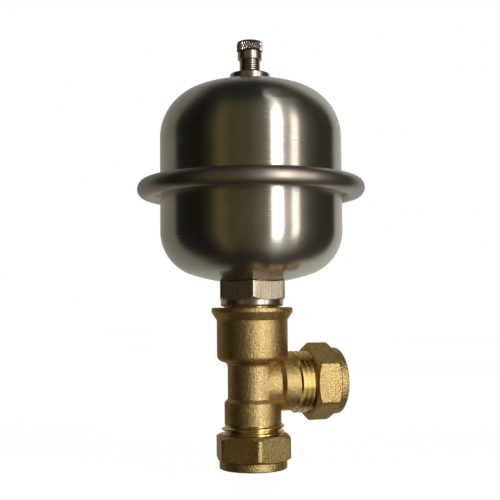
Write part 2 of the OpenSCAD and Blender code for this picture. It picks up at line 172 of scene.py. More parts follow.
def hexagon_bar(across_flats: float, low: float, high: float, turn: float, corner: float) -> BMesh:
    """Makes a hexagonal bar with rounded corners.

    Args:
        across_flats: distance between opposite flats.
        low: height of the lower end.
        high: height of the upper end.
        turn: turn of a corner from the +X direction, in degrees.
        corner: how far the rounding reaches into each flat.

    Returns:
        A closed mesh in millimetres.
    """
    bm = bmesh.new()
    reach = across_flats / math.sqrt(3)
    middle = Matrix.Translation((0, 0, (low + high) / 2))
    bmesh.ops.create_cone(
        bm, cap_ends=True, segments=6, radius1=reach, radius2=reach, depth=high - low, matrix=middle
    )
    corner_at = next(iter(bm.verts)).co
    first = math.atan2(corner_at.y, corner_at.x)
    spun = Matrix.Rotation(math.radians(turn) - first, 3, "Z")
    bmesh.ops.rotate(bm, verts=bm.verts, cent=(0, 0, 0), matrix=spun)
    upright = [e for e in bm.edges if abs(e.verts[0].co.z - e.verts[1].co.z) > 0.5 * (high - low)]
    bmesh.ops.bevel(
        bm,
        geom=upright,
        offset=corner,
        offset_type="OFFSET",
        affect="EDGES",
        segments=4,
        profile=0.5,
        material=-1,
    )
    bmesh.ops.recalc_face_normals(bm, faces=bm.faces)
    return bm


def screw_thread(
    radii: Point, pitch: float, span: Point, crest_z: float, steps: int = 60, crest: float = 0.11
) -> BMesh:
    """Winds a V-shaped thread ridge that fades in and out at its ends.

    Args:
        radii: radius at the bottom of the groove and over the crests.
        pitch: rise of one turn.
        span: heights where the ridge starts and ends.
        crest_z: height of a crest in the +X direction.
        steps: steps in one turn.
        crest: half width of the crest, as a share of the pitch.

    Returns:
        A closed mesh in millimetres.
    """
    (root_r, crest_r), (low, high) = radii, span
    sunk = RIDGE_SUNK * (crest_r - root_r)
    flat = crest * pitch
    half = RIDGE_HALF * pitch
    fading = RIDGE_FADE * steps
    middle = ((root_r - sunk + crest_r) / 2, (half + flat) / 2)
    rising = [(root_r - sunk, -half), (middle[0], -middle[1]), (crest_r, -flat)]
    ridge = [*rising, (crest_r + CREST_BULGE * flat, 0.0), *[(r, -z) for r, z in rising[::-1]]]
    count = max(2, round((high - low - 2 * half) / pitch * steps))
    bm = bmesh.new()
    corners = [bm.verts.new((r, 0.0, low + half + z)) for r, z in ridge]
    edges = [bm.edges.new(pair) for pair in zip(corners, corners[1:] + corners[:1])]
    bmesh.ops.spin(
        bm,
        geom=corners + edges,
        cent=(0, 0, 0),
        axis=(0, 0, 1),
        dvec=(0, 0, pitch / steps),
        angle=math.tau * count / steps,
        steps=count,
    )
    bmesh.ops.holes_fill(bm, edges=[e for e in bm.edges if e.is_boundary], sides=len(ridge))
    for index, vert in enumerate(bm.verts):
        step = index // len(ridge)
        fade = min(1.0, step / fading, (count - step) / fading)
        reach = math.hypot(vert.co.x, vert.co.y)
        kept = root_r - sunk + (reach - root_r + sunk) * fade
        vert.co.xy = vert.co.xy * (kept / reach)
    lead = Matrix.Rotation(math.tau * (low + half - crest_z) / pitch, 3, "Z")
    bmesh.ops.rotate(bm, verts=bm.verts, cent=(0, 0, 0), matrix=lead)
    bmesh.ops.recalc_face_normals(bm, faces=bm.faces)
    return bm


def as_mesh(bm: BMesh, name: str) -> Mesh:
    """Writes an edit mesh into a new mesh and frees it.

    Args:
        bm: the edit mesh.
        name: name of the new mesh.

    Returns:
        The new mesh.
    """
    mesh = bpy.data.meshes.new(name)
    bm.to_mesh(mesh)
    bm.free()
    return mesh


def put(name: str, data: bpy.types.ID) -> Object:
    """Puts a new object into the scene.

    Args:
        name: name of the object.
        data: its mesh, camera or light.

    Returns:
        The new object.
    """
    made = bpy.data.objects.new(name, data)
    bpy.context.scene.collection.objects.link(made)
    return made


def combine(base: BMesh, *steps: tuple[Join, BMesh]) -> BMesh:
    """Combines closed meshes into one solid, one after the other, and cleans it of slivers.

    Args:
        base: the mesh to start from, which is freed.
        steps: how each further mesh is combined with it, and that mesh, which is freed.

    Returns:
        The combined mesh.
    """
    solid = as_mesh(base, "solid")
    for how, other in steps:
        first, second = put("first", solid), put("second", as_mesh(other, "other"))
        step = first.modifiers.new("combine", "BOOLEAN")
        step.object = second
        step.operation = how.value
        step.solver = "EXACT"
        graph = bpy.context.evaluated_depsgraph_get()
        solid = bpy.data.meshes.new_from_object(first.evaluated_get(graph), depsgraph=graph)
        for used in (first, second):
            mesh = used.data
            bpy.data.objects.remove(used)
            bpy.data.meshes.remove(mesh)
    bm = bmesh.new()
    bm.from_mesh(solid)
    bpy.data.meshes.remove(solid)
    bmesh.ops.remove_doubles(bm, verts=bm.verts, dist=WELD)
    bmesh.ops.dissolve_degenerate(bm, edges=bm.edges, dist=SLIVER)
    bmesh.ops.triangulate(bm, faces=[f for f in bm.faces if len(f.verts) > 4])
    bmesh.ops.dissolve_degenerate(bm, edges=bm.edges, dist=SLIVER)
    return bm


# Place of the branch end, for a piece drawn along the run end
BRANCH = Matrix.Translation((17.0, 0.0, 14.2)) @ Matrix.Rotation(math.radians(-90), 4, "Y")


def on_branch(bm: BMesh) -> BMesh:
    """Moves a piece drawn along the run end onto the branch end.

    Args:
        bm: the edit mesh, in millimetres.

    Returns:
        The same edit mesh.
    """
    bmesh.ops.transform(bm, matrix=BRANCH, verts=bm.verts)
    return bm


def set_inputs(tree: NodeTree, node: Node, inputs: Inputs) -> None:
    """Sets or links inputs of a node.

    Args:
        tree: the node tree.
        node: the node.
        inputs: for each input's name or number a value, a socket to link, or a node whose first
            output is linked.
    """
    for name, value in inputs.items():
        source = value.outputs[0] if isinstance(value, Node) else value
        if isinstance(source, NodeSocket):
            tree.links.new(source, node.inputs[name])
        else:
            node.inputs[name].default_value = source


def add_node(tree: NodeTree, kind: str, inputs: Inputs | None = None, **settings: object) -> Node:
    """Adds a shader node, sets it up and links its inputs.

    Args:
        tree: the node tree.
        kind: Blender's name of the node, without its ShaderNode prefix.
        inputs: values and links of its inputs.
        settings: attributes of the node.

    Returns:
        The new node.
    """
    node = tree.nodes.new("ShaderNode" + kind)
    for name, value in settings.items():
        setattr(node, name, value)
    set_inputs(tree, node, inputs or {})
    return node


def set_ramp(node: Node, stops: Sequence[tuple[float, Colour]]) -> None:
    """Writes the stops of a colour ramp.

    Args:
        node: the colour ramp node.
        stops: position and colour of each stop, in rising order.
    """
    ramp = node.color_ramp.elements
    ramp.remove(ramp[1])
    ramp[0].position, ramp[0].color = stops[0]
    for position, shade in stops[1:]:
        ramp.new(position).color = shade


def new_material(name: str) -> tuple[Material, NodeTree, Node, NodeSocket]:
    """Starts a node material.

    Args:
        name: name of the material.

    Returns:
        The material, its node tree, its surface shader and its Object coordinates.
    """
    made = bpy.data.materials.new(name)
    made.use_nodes = True
    tree = made.node_tree
    place = add_node(tree, "TexCoord").outputs["Object"]
    return made, tree, tree.nodes["Principled BSDF"], place


@dataclass(frozen=True)
class LinedMetal:
    """Metal with fine parallel tool marks, such as brushed, drawn or turned stock.

    The real marks are under a tenth of a millimetre apart, finer than a pixel of the
    photograph, so they are drawn coarser to show.
    """

    name: str
    shade: str
    worn: str
    roughness: float
    spread: float
    anisotropy: float
    mark_gap: float
    mark_depth: float
    lay: Lay = Lay.AROUND
    edge: float = 0.15
    film: float = 0.0

    def build(self) -> Material:
        """Makes the material.

        Returns:
            The node material.
        """
        made, tree, skin, place = new_material(self.name)
        if self.lay is Lay.AROUND:
            axes = add_node(tree, "SeparateXYZ", {0: place}).outputs
            flat = add_node(tree, "CombineXYZ", {0: axes["X"], 1: axes["Y"]})
            out = add_node(tree, "VectorMath", {0: flat}, operation="LENGTH").outputs["Value"]
            across = add_node(tree, "Math", {0: axes["Z"], 1: out}, operation="ADD")
            combed = add_node(tree, "CombineXYZ", {0: axes["X"], 1: axes["Y"], 2: across})
            stretch = (1 / MARK_ROUND, 1 / MARK_ROUND, 1 / self.mark_gap)
        else:
            combed = place
            stretch = (1 / self.mark_gap, 1 / self.mark_gap, 1 / MARK_UPRIGHT)
        scaled = tuple(value / MM for value in stretch)
        lines = add_node(tree, "VectorMath", {0: combed, 1: scaled}, operation="MULTIPLY")
        drawn = {"Vector": lines, "Scale": 1.0, "Detail": 3.0, "Roughness": 0.6}
        marks = add_node(tree, "TexNoise", drawn)
        spots = {"Vector": place, "Scale": 1 / (PATCH * MM), "Detail": 2.0}
        tone = add_node(tree, "ValToRGB", {0: add_node(tree, "TexNoise", spots)})
        set_ramp(tone, [(0.35, colour(self.worn)), (0.65, colour(self.shade))])
        low, high = self.roughness - self.spread, self.roughness + self.spread
        gloss = {"Value": marks, **NOISE_BAND, "To Min": low, "To Max": high}
        rounded = add_node(tree, "Bevel", {"Radius": self.edge * MM}, samples=4)
        depth = self.mark_depth * MM
        relief = {"Height": marks, "Normal": rounded, "Distance": depth, "Strength": 0.4}
        surface: Inputs = {
            "Metallic": 1.0,
            "Anisotropic": self.anisotropy,
            # a quarter turn stretches highlights across the marks
            "Anisotropic Rotation": 0.25,
            "Coat Weight": self.film,
            "Coat Roughness": self.roughness,
            "Base Color": tone,
            "Roughness": add_node(tree, "MapRange", gloss),
            "Normal": add_node(tree, "Bump", relief),
        }
        if self.lay is Lay.AROUND:
            surface["Tangent"] = add_node(tree, "Tangent", direction_type="RADIAL", axis="Z")
        set_inputs(tree, skin, surface)
        return made


@dataclass(frozen=True)
class GrainedMetal:
    """Metal with a blasted or forged skin, whose fine grit sparkles.

    Grit of about 0.1 mm is drawn coarser, so that it shows at the photograph's scale.
    """

    name: str
    shade: str
    stain: str
    roughness: float
    grit: float
    grit_depth: float
    edge: float
    rim: str
    film: float
    film_roughness: float = 0.2
    spread: float = 0.1
    pit_share: float = 2.2
    stain_size: float = 5.0
    # light left in a hollow and on a proud grain, in linear light
    hollow: Colour = (0.42, 0.37, 0.3, 1.0)
    proud: Colour = WHITE

    def build(self) -> Material:
        """Makes the material.

        Returns:
            The node material.
        """
        made, tree, skin, place = new_material(self.name)
        sizes = (self.grit, self.pit_share * self.grit, self.stain_size)
        grit, pit, stain = (1 / (size * MM) for size in sizes)
        blasted = {"Vector": place, "Scale": grit, "Detail": 2.0, "Roughness": 0.7}
        grains = add_node(tree, "TexNoise", blasted)
        pits = add_node(tree, "TexVoronoi", {"Vector": place, "Scale": pit})
        stains = {"Vector": place, "Scale": stain, "Detail": 4.0, "Roughness": 0.65}
        height = add_node(tree, "Math", {0: grains, 1: pits}, operation="ADD")
        tone = add_node(tree, "ValToRGB", {0: add_node(tree, "TexNoise", stains)})
        set_ramp(tone, [(0.3, colour(self.stain)), (0.6, colour(self.shade))])
        shadow = add_node(tree, "ValToRGB", {0: grains})
        set_ramp(shadow, [(0.38, self.hollow), (0.6, self.proud)])
        mixed = {"Factor": 1.0, "A": tone, "B": shadow}
        speckled = add_node(tree, "Mix", mixed, data_type="RGBA", blend_type="MULTIPLY")
        low, high = self.roughness - self.spread, self.roughness + self.spread
        gloss = {"Value": grains, **NOISE_BAND, "To Min": low, "To Max": high}
        rounded = add_node(tree, "Bevel", {"Radius": self.edge * MM}, samples=6)
        depth = self.grit_depth * MM
        relief = {"Height": height, "Normal": rounded, "Distance": depth, "Strength": 0.6}
        surface: Inputs = {
            "Metallic": 1.0,
            "Specular Tint": colour(self.rim),
            "Coat Weight": self.film,
            "Coat Roughness": self.film_roughness,
            "Base Color": speckled.outputs[2],
            "Roughness": add_node(tree, "MapRange", gloss),
            "Normal": add_node(tree, "Bump", relief),
        }
        set_inputs(tree, skin, surface)
        return made


@dataclass(frozen=True)
class SoftStuff:
    """Rubber or sealing tape, with mottled colour and a slightly uneven face."""

    name: str
    shade: str
    faded: str
    roughness: float
    mottle: float
    bumps: float = 0.05

    def build(self) -> Material:
        """Makes the material.

        Returns:
            The node material.
        """
        made, tree, skin, place = new_material(self.name)
        mottled = {"Vector": place, "Scale": 1 / (self.mottle * MM), "Detail": 5.0}
        cloud = add_node(tree, "TexNoise", mottled)
        tone = add_node(tree, "ValToRGB", {0: cloud})
        set_ramp(tone, [(0.35, colour(self.faded)), (0.65, colour(self.shade))])
        relief = {"Height": cloud, "Distance": self.bumps * MM, "Strength": 0.3}
        surface: Inputs = {
            "Roughness": self.roughness,
            "Base Color": tone,
            "Normal": add_node(tree, "Bump", relief),
        }
        set_inputs(tree, skin, surface)
        return made


@dataclass(frozen=True)
class LitFloor:
    """Opal floor lit from below, whose even white hides every shadow."""

    name: str = "Lit_opal_floor"
    shade: str = "#ffffff"
    cloudy: str = "#fdfdfc"
    base: str = "#101010"
    cloud_size: float = 400.0

    def build(self) -> Material:
        """Makes the material.

        Returns:
            The node material.
        """
        made, tree, skin, place = new_material(self.name)
        clouds = {"Vector": place, "Scale": 1 / (self.cloud_size * MM), "Detail": 2.0}
        tone = add_node(tree, "ValToRGB", {0: add_node(tree, "TexNoise", clouds)})
        set_ramp(tone, [(0.3, colour(self.cloudy)), (0.7, colour(self.shade))])
        surface: Inputs = {
            "Base Color": colour(self.base),
            "Specular IOR Level": 0.0,
            "Emission Strength": 1.0,
            "Emission Color": tone,
        }
        set_inputs(tree, skin, surface)
        return made


# The record's material slots with their finishes, and three more of the plating, two of them darker
# copies that paint shade into the grooves of a knurl and of a thread.
# A lined metal gives its bright and worn shades, roughness and spread, anisotropy, and the gap
# and depth of its marks in millimetres. A grained one gives its shades, roughness, size and depth
# of grit, rounding of edges, rim colour and film; soft stuff its shades, roughness and mottle.
FINISHES: dict[str, LinedMetal | GrainedMetal | SoftStuff] = {
    # deep-drawn stainless sheet, belt-brushed round the vessel: highlights run into upright streaks
    "brushed_stainless": LinedMetal(
        "Brushed_stainless_sheet", "#d2cec6", "#c6c2ba", 0.23, 0.05, 0.9, 0.4, 0.005
    ),
    # rolled stainless ring with a satin skin: broad, soft highlights
    "satin_stainless": LinedMetal(
        "Satin_rolled_stainless", "#bbb4ac", "#aea69e", 0.37, 0.04, 0.3, 0.5, 0.006
    ),
    # drawn hexagon bar: warm grey flats with upright draw marks
    "machined_steel": LinedMetal(
        "Drawn_hexagon_steel", "#f0e4cd", "#e0d2b8", 0.26, 0.06, 0.0, 0.55, 0.08, Lay.UPRIGHT
    ),
    # bright nickel plating over turned brass: clear, slightly warm reflections
    "nickel_plate": LinedMetal(
        "Bright_nickel_plate", "#dcd4c8", "#cec5b8", 0.24, 0.04, 0.0, 0.4, 0.003, edge=0.06
    ),
    # the same plating, rubbed bright on the diamonds of a knurl, which sparkle
    "polished_plate": LinedMetal(
        "Rubbed_nickel_plate", "#faf7f0", "#f4efe6", 0.19, 0.02, 0.0, 0.4, 0.002, edge=0.02
    ),
    # the same plating, dark and dull in the grooves of a knurl: painted shade that makes the grooves
    # look dark
    "groove_shade_plate": LinedMetal(
        "Knurl_groove_shade_plate", "#40362a", "#2f271d", 0.45, 0.05, 0.0, 0.4, 0.004, edge=0.03
    ),
    # the same plating, a darker brown between the ridges of a fine thread: painted shade in the
    # thread's valleys
    "valley_shade_plate": LinedMetal(
        "Valley_shade_nickel_plate", "#75674f", "#5e523e", 0.34, 0.05, 0.0, 0.4, 0.004, edge=0.03
    ),
    # hot-forged, blasted brass: a golden grain that sparkles, with brown edges
    "forged_brass": GrainedMetal(
        "Blasted_forged_brass", "#fbe0a0", "#ebca82", 0.32, 0.29, 0.2, 0.4, "#b4906a", 0.4
    ),
    # turned brass with fine tool rings: bright yellow and glossy
    "turned_brass": LinedMetal(
        "Turned_brass", "#f3e0a8", "#e9d092", 0.2, 0.04, 0.0, 0.4, 0.002, edge=0.1, film=0.6
    ),
    # drawn and hardened spring wire: dark grey with a dull shine
    "spring_steel": LinedMetal("Drawn_spring_wire", "#a9a6a2", "#8f8c88", 0.3, 0.06, 0.0, 0.3, 0.004),
    # moulded black rubber: matt, faintly mottled
    "black_rubber": SoftStuff("Moulded_black_rubber", "#1c1c1c", "#2a2928", 0.6, 1.5),
    # white sealing tape and plastic: matt and slightly uneven
    "white_plastic": SoftStuff("White_sealing_tape", "#efeeea", "#d9d7d0", 0.55, 0.8),
}

# The CAD nodes of each slot
SLOT_NODES: dict[str, tuple[str, ...]] = {
    "forged_brass": ("tee_body", "run_nut", "branch_nut"),
    "turned_brass": ("run_olive", "branch_olive", "core_barrel", "valve_pin", "seal_cup"),
    "brushed_stainless": ("lower_shell", "upper_shell"),
    "satin_stainless": ("seam_ring",),
    "machined_steel": ("connection_boss",),
    "nickel_plate": ("valve_stem", "valve_cap"),
    "spring_steel": ("pin_spring",),
    "black_rubber": ("diaphragm", "pin_seal", "cap_seal"),
    "white_plastic": ("core_gasket", "thread_tape"),
}


@dataclass(frozen=True)
class FarEnd:
    """Body that the far end of a springy piece should follow, and the heights between which it should
    give; the script only stores them.
    """

    body: Body
    start: float
    end: float


class Workshop:
    """Keeps the materials and turns finished meshes into pieces of the part."""

    def __init__(self) -> None:
        """Makes every material."""
        self.materials = {slot: finish.build() for slot, finish in FINISHES.items()}

    def dress_nodes(self) -> None:
        """Gives each CAD node the material of its slot."""
        for slot, nodes in SLOT_NODES.items():
            for node in nodes:
                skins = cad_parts[node].data.materials
                skins.clear()
                skins.append(self.materials[slot])

    def piece(
        self,
        name: str,
        bm: BMesh,
        slots: Sequence[str],
        body: Body,
        node: str,
        crisp: float = 32.0,
        far: FarEnd | None = None,
    ) -> Object:
        """Finishes a mesh as a piece that stands for a CAD node.

        Args:
            name: name of the piece.
            bm: the edit mesh, in millimetres, which is freed.
            slots: material slots in the order of the faces' material numbers.
            body: CAD body that the piece rides on.
            node: CAD node that it replaces.
            crisp: angle in degrees from which an edge stays sharp.
            far: what the far end should follow where the piece gives; when it is given, the piece is
                baked in place instead of riding on a body, and nothing else is read from it.

        Returns:
            The new object.
        """
        bmesh.ops.scale(bm, vec=(MM, MM, MM), verts=bm.verts)
        mesh = as_mesh(bm, name)
        for slot in slots:
            mesh.materials.append(self.materials[slot])
        mesh.shade_smooth()
        mesh.set_sharp_from_angle(angle=math.radians(crisp))
        made = put(name, mesh)
        if far is None:
            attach(made, body.value)
        else:
            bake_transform(made)
        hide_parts(node)
        return made


@dataclass
class HalfShell:
    """One drawn half of the vessel, with its crown, knuckle, wall and out-turned flange."""

    name: str
    node: str
    depth: float
    crown_r: float
    knuckle_r: float
    hole_r: float
    upward: bool
    seam_z: float = 85.9
    wall_r: float = 33.75
    sheet: float = 0.8
    bend_r: float = 1.0
    flange_r: float = 39.15
    flange_low: float = 0.8

    def skin(self, inset: float) -> list[Point]:
        """Draws one face of the sheet from the hole to the wall.

        Args:
            inset: how far the face lies inside the outer one.

        Returns:
            Radius and height above the seam of its points.
        """
        knuckle_x = self.wall_r - self.knuckle_r
        crown_y = self.depth - self.crown_r
        rise = math.sqrt((self.crown_r - self.knuckle_r) ** 2 - knuckle_x**2)
        meet = math.degrees(math.atan2(rise, knuckle_x))
        hole = math.degrees(math.acos(self.hole_r / (self.crown_r - inset)))
        crown = arc((0.0, crown_y), self.crown_r - inset, hole, meet, 22)
        bend_r = self.knuckle_r - inset
        knuckle = arc((knuckle_x, crown_y + rise), bend_r, meet, 0.0, 26)
        return crown + knuckle[1:]

    def build(self, shop: Workshop) -> Object:
        """Turns the shell and hands it in.

        Args:
            shop: keeper of the materials.

        Returns:
            The new object.
        """
        bend_y = self.flange_low + self.sheet + self.bend_r
        bend = (self.wall_r + self.bend_r, bend_y)
        outer_bend = arc(bend, self.bend_r, 180.0, 270.0, 6)
        inner_bend = arc(bend, self.bend_r + self.sheet, 270.0, 180.0, 6)
        flange = [(self.flange_r, bend_y - self.bend_r), (self.flange_r, self.flange_low)]
        section = self.skin(0.0) + outer_bend + flange + inner_bend + self.skin(self.sheet)[::-1]
        side = 1.0 if self.upward else -1.0
        bm = lathe([(r, self.seam_z + side * y) for r, y in section], VESSEL_STEPS)
        return shop.piece(self.name, bm, ["brushed_stainless"], Body.FIXED, self.node)


@dataclass
class SeamRing:
    """Rolled C-section ring that clenches the two flanges."""

    seam_z: float = 85.9
    inner_x: float = 38.3
    outer_x: float = 38.72
    bead: float = 3.5
    sheet: float = 0.8
    slot_half: float = 1.65

    def face(self, radius: float, count: int) -> list[Point]:
        """Draws the C from its upper lip round to its lower lip.

        Args:
            radius: radius of the rolled edge.
            count: points on each quarter turn.

        Returns:
            Radius and height above the seam of its points.
        """
        lip = 180.0 - math.degrees(math.asin(self.slot_half / radius))
        upper = arc((self.inner_x, 0.0), radius, lip, 90.0, count)
        nose = arc((self.outer_x, 0.0), radius, 90.0, -90.0, 2 * count)
        lower = arc((self.inner_x, 0.0), radius, -90.0, -lip, count)
        return upper + nose + lower

    def build(self, shop: Workshop) -> Object:
        """Turns the ring and hands it in.

        Args:
            shop: keeper of the materials.

        Returns:
            The new object.
        """
        section = self.face(self.bead, 12) + self.face(self.bead - self.sheet, 8)[::-1]
        bm = lathe([(r, self.seam_z + y) for r, y in section], VESSEL_STEPS)
        return shop.piece("Rolled_seam_ring", bm, ["satin_stainless"], Body.FIXED, "seam_ring")


@dataclass
class ConnectionBoss:
    """Hexagon under the vessel with its polished foot and male pipe thread."""

    across_flats: float = 23.6
    turn: float = 12.0
    thread_low: float = 29.4
    thread_r: float = 10.3
    foot_z: float = 42.4
    foot_r: float = 11.6
    foot_round: float = 1.0
    hex_z: float = 44.8
    pole_z: float = 50.8
    dome_r: float = 72.05
    seat_gap: float = 0.05
    joint_r: float = 11.0
    outer_mid: float = 11.5
    inner_mid: float = 10.0
    joint_gap: float = 0.25
    thread_chamfer: float = 0.7
    corner: float = 0.3
    bar_over: float = 3.0
    pilot_r: float = 8.0
    pilot_z: float = 52.2
    way_r: float = 5.5

    def dome(self, radius: float) -> float:
        """Height of the vessel's underside at a radius."""
        return self.pole_z - self.seat_gap + self.dome_r - math.sqrt(self.dome_r**2 - radius**2)

    def build(self, shop: Workshop) -> Object:
        """Turns the blank, cuts the flats and hands it in.

        Args:
            shop: keeper of the materials.

        Returns:
            The new object.
        """
        blank = self.across_flats / math.sqrt(3) + SPARE
        low = self.hex_z + (blank - self.foot_r) * CONE_SLOPE
        round_x = self.foot_r - self.foot_round
        section = [
            (self.way_r, self.thread_low),
            (self.thread_r - self.thread_chamfer, self.thread_low),
            (self.thread_r, self.thread_low + self.thread_chamfer),
            (self.thread_r, self.foot_z),
            *arc((round_x, self.foot_z + self.foot_round), self.foot_round, -90.0, 0.0, 6),
            (self.foot_r, self.hex_z),
            (blank, low),
            *[(r, self.dome(r) - self.joint_gap) for r in (blank, self.outer_mid, self.joint_r)],
            *[(r, self.dome(r)) for r in (self.joint_r, self.inner_mid, self.pilot_r)],
            (self.pilot_r, self.pilot_z),
            (self.way_r, self.pilot_z),
        ]
        low, high = self.thread_low - SPARE, self.pilot_z + self.bar_over
        bar = hexagon_bar(self.across_flats, low, high, self.turn, self.corner)
        bm = combine(lathe(section), (Join.INTERSECT, bar))
        for face in bm.faces:
            face.material_index = int(face.calc_center_median().z < self.hex_z)
        slots = ["machined_steel", "nickel_plate"]
        return shop.piece("Hexagon_boss", bm, slots, Body.FIXED, "connection_boss", 25.0)


@dataclass
class TeeForging:
    """Forged brass tee with a vessel socket and two threaded compression spigots."""

    mouth_z: float = -11.0
    core_r: float = 10.35
    crest_r: float = 11.5
    pitch: float = 2.0
    run_thread_end: float = -0.2
    branch_thread_end: float = 2.6
    spigot_r: float = 10.45
    taper_low: float = 7.35
    taper_high: float = 8.75
    run_body_r: float = 9.2
    branch_body_r: float = 9.1
    branch_end: float = 17.0
    shoulder_z: float = 20.2
    socket_r: float = 13.1
    rim_r: float = 15.0
    port_z: float = 42.1
    seat_r: float = 9.3
    bore_r: float = 7.6
    run_way_r: float = 6.3
    run_way_end: float = 30.0
    branch_way_r: float = 6.2
    tap_r: float = 10.75
    tap_z: float = 27.1
    tap_edge: float = 0.8
    tap_flare: float = 1.8
    tap_margin: float = 0.5
    chamfer: float = 0.3
    runout: float = 0.4
    lead_in: float = 0.2
    lead_out: float = 0.5
    fillet_r: float = 2.0
    shoulder_round: float = 2.4
    shoulder_rise: float = 4.4
    rim_round: float = 0.6
    flare_low: float = 4.7
    flare_high: float = 1.7
    run_crest_z: float = -1.12
    branch_crest_z: float = -0.45

    def spigot(self, body_r: float, thread_end: float) -> list[Point]:
        """Draws the outside of one compression spigot from its mouth to the tee's body.

        Args:
            body_r: radius of the body behind the spigot.
            thread_end: height where the thread runs out.

        Returns:
            Radius and height of its points.
        """
        return [
            (0.0, self.mouth_z),
            (self.core_r - self.chamfer, self.mouth_z),
            (self.core_r, self.mouth_z + self.chamfer),
            (self.core_r, thread_end - self.runout),
            (self.spigot_r, thread_end - self.chamfer),
            (self.spigot_r, self.taper_low),
            (body_r, self.taper_high),
        ]

    def socket(self) -> list[Point]:
        """Draws the outside of the vessel socket, from its shoulder to its rim.

        Returns:
            Radius and height of its points.
        """
        inner = (self.run_body_r + self.fillet_r, self.shoulder_z)
        outer = (self.socket_r - self.shoulder_round, self.shoulder_z + self.shoulder_rise)
        edge = (self.rim_r - self.rim_round, self.port_z - self.rim_round)
        return [
            *arc(inner, self.fillet_r, 180.0, 92.0, 7),
            *arc(outer, self.shoulder_round, -77.0, 0.0, 8),
            (self.socket_r, self.port_z - self.flare_low),
            (self.rim_r, self.port_z - self.flare_high),
            *arc(edge, self.rim_round, 0.0, 90.0, 5),
        ]

    def waterway(self, way_r: float, length: float) -> list[Point]:
        """Draws the hole of one pipe end: olive seat, pipe bore, stop and waterway.

        Args:
            way_r: radius of the waterway.
            length: height at which the hole ends.

        Returns:
            Radius and height of its points.
        """
        return [
            (0.0, self.mouth_z - SPARE),
            (self.seat_r + SPARE * CONE_SLOPE, self.mouth_z - SPARE),
            (self.bore_r, self.mouth_z + (self.seat_r - self.bore_r) / CONE_SLOPE),
            (self.bore_r, 0.0),
            (way_r, 0.0),
            (way_r, length),
            (0.0, length),
        ]

    def thread(self, thread_end: float, crest_z: float) -> BMesh:
        """Winds the thread of one spigot.

        Args:
            thread_end: height where the thread runs out.
            crest_z: height of a crest in the +X direction.

        Returns:
            The ridge in millimetres, along the run end.
        """
        span = (self.mouth_z + self.lead_in, thread_end + self.lead_out)
        return screw_thread((self.core_r, self.crest_r), self.pitch, span, crest_z)

    def build(self, shop: Workshop) -> Object:
        """Joins the arms, bores them, winds the threads and hands the tee in.

        Args:
            shop: keeper of the materials.

        Returns:
            The new object.
        """
        spigot = self.spigot(self.branch_body_r, self.branch_thread_end)
        arm = [*spigot, (self.branch_body_r, self.branch_end), (0.0, self.branch_end)]
        run = [*self.spigot(self.run_body_r, self.run_thread_end), *self.socket(), (0.0, self.port_z)]
        tap = [
            (0.0, self.tap_z),
            (self.tap_r, self.tap_z),
            (self.tap_r, self.port_z - self.tap_edge),
            (self.tap_r + self.tap_flare, self.port_z + SPARE),
            (0.0, self.port_z + SPARE),
        ]
        run_way = self.waterway(self.run_way_r, self.run_way_end)
        branch_way = self.waterway(self.branch_way_r, self.branch_end)
        bm = combine(
            lathe(run, ring=False),
            (Join.UNION, on_branch(lathe(arm, ring=False))),
            (Join.DIFFERENCE, lathe(run_way, ring=False)),
            (Join.DIFFERENCE, on_branch(lathe(branch_way, ring=False))),
            (Join.DIFFERENCE, lathe(tap, ring=False)),
            (Join.UNION, self.thread(self.run_thread_end, self.run_crest_z)),
            (Join.UNION, on_branch(self.thread(self.branch_thread_end, self.branch_crest_z))),
        )
        for face in bm.faces:
            spot = face.calc_center_median()
            inside = spot.z > self.tap_z and math.hypot(spot.x, spot.y) < self.tap_r + self.tap_margin
            run_end = spot.z < self.run_thread_end - self.chamfer
            branch_end = spot.x > self.branch_end - self.branch_thread_end + self.chamfer
            face.material_index = int(inside or run_end or branch_end)
        slots = ["forged_brass", "turned_brass"]
        return shop.piece("Forged_tee", bm, slots, Body.FIXED, "tee_body", 28.0)


@dataclass
class CompressionNut:
    """Blasted brass compression nut with rounded hexagon corners and a round collar."""

    name: str
    node: str
    body: Body
    turn: float
    across_flats: float = 25.6
    low: float = -16.6
    length: float = 12.5
    collar: float = 3.0
    collar_r: float = 12.45
    collar_round: float = 0.6
    hole_r: float = 7.7
    wall: float = 2.2
    seat_r: float = 9.3
    bore_r: float = 11.6
    corner: float = 0.95
    chamfer: float = 0.3

    def build(self, shop: Workshop) -> Object:
        """Turns the blank, cuts the flats and hands the nut in.

        Args:
            shop: keeper of the materials.

        Returns:
            The new object.
        """
        blank = self.across_flats / math.sqrt(3) + SPARE
        rise = (blank - self.collar_r) * CONE_SLOPE
        face_z = self.low + self.length
        start = self.low + self.collar
        seat_z = self.low + self.wall + (self.seat_r - self.hole_r) / CONE_SLOPE
        edge = (self.collar_r - self.collar_round, self.low + self.collar_round)
        section = [
            (self.hole_r, self.low + self.chamfer),
            (self.hole_r + self.chamfer, self.low),
            *arc(edge, self.collar_round, -90.0, 0.0, 6),
            (self.collar_r, start),
            (blank, start + rise),
            (blank, face_z - rise),
            (self.collar_r, face_z),
            (self.bore_r, face_z),
            (self.bore_r, seat_z),
            (self.seat_r, seat_z),
            (self.hole_r, self.low + self.wall),
        ]
        bar = hexagon_bar(self.across_flats, self.low - SPARE, face_z + SPARE, self.turn, self.corner)
        bm = combine(lathe(section), (Join.INTERSECT, bar))
        for face in bm.faces:
            spot = face.calc_center_median()
            face.material_index = int(math.hypot(spot.x, spot.y) < self.bore_r + NEAR)
        if self.body is Body.BRANCH_NUT:
            on_branch(bm)
        return shop.piece(self.name, bm, ["forged_brass", "turned_brass"], self.body, self.node, 25.0)


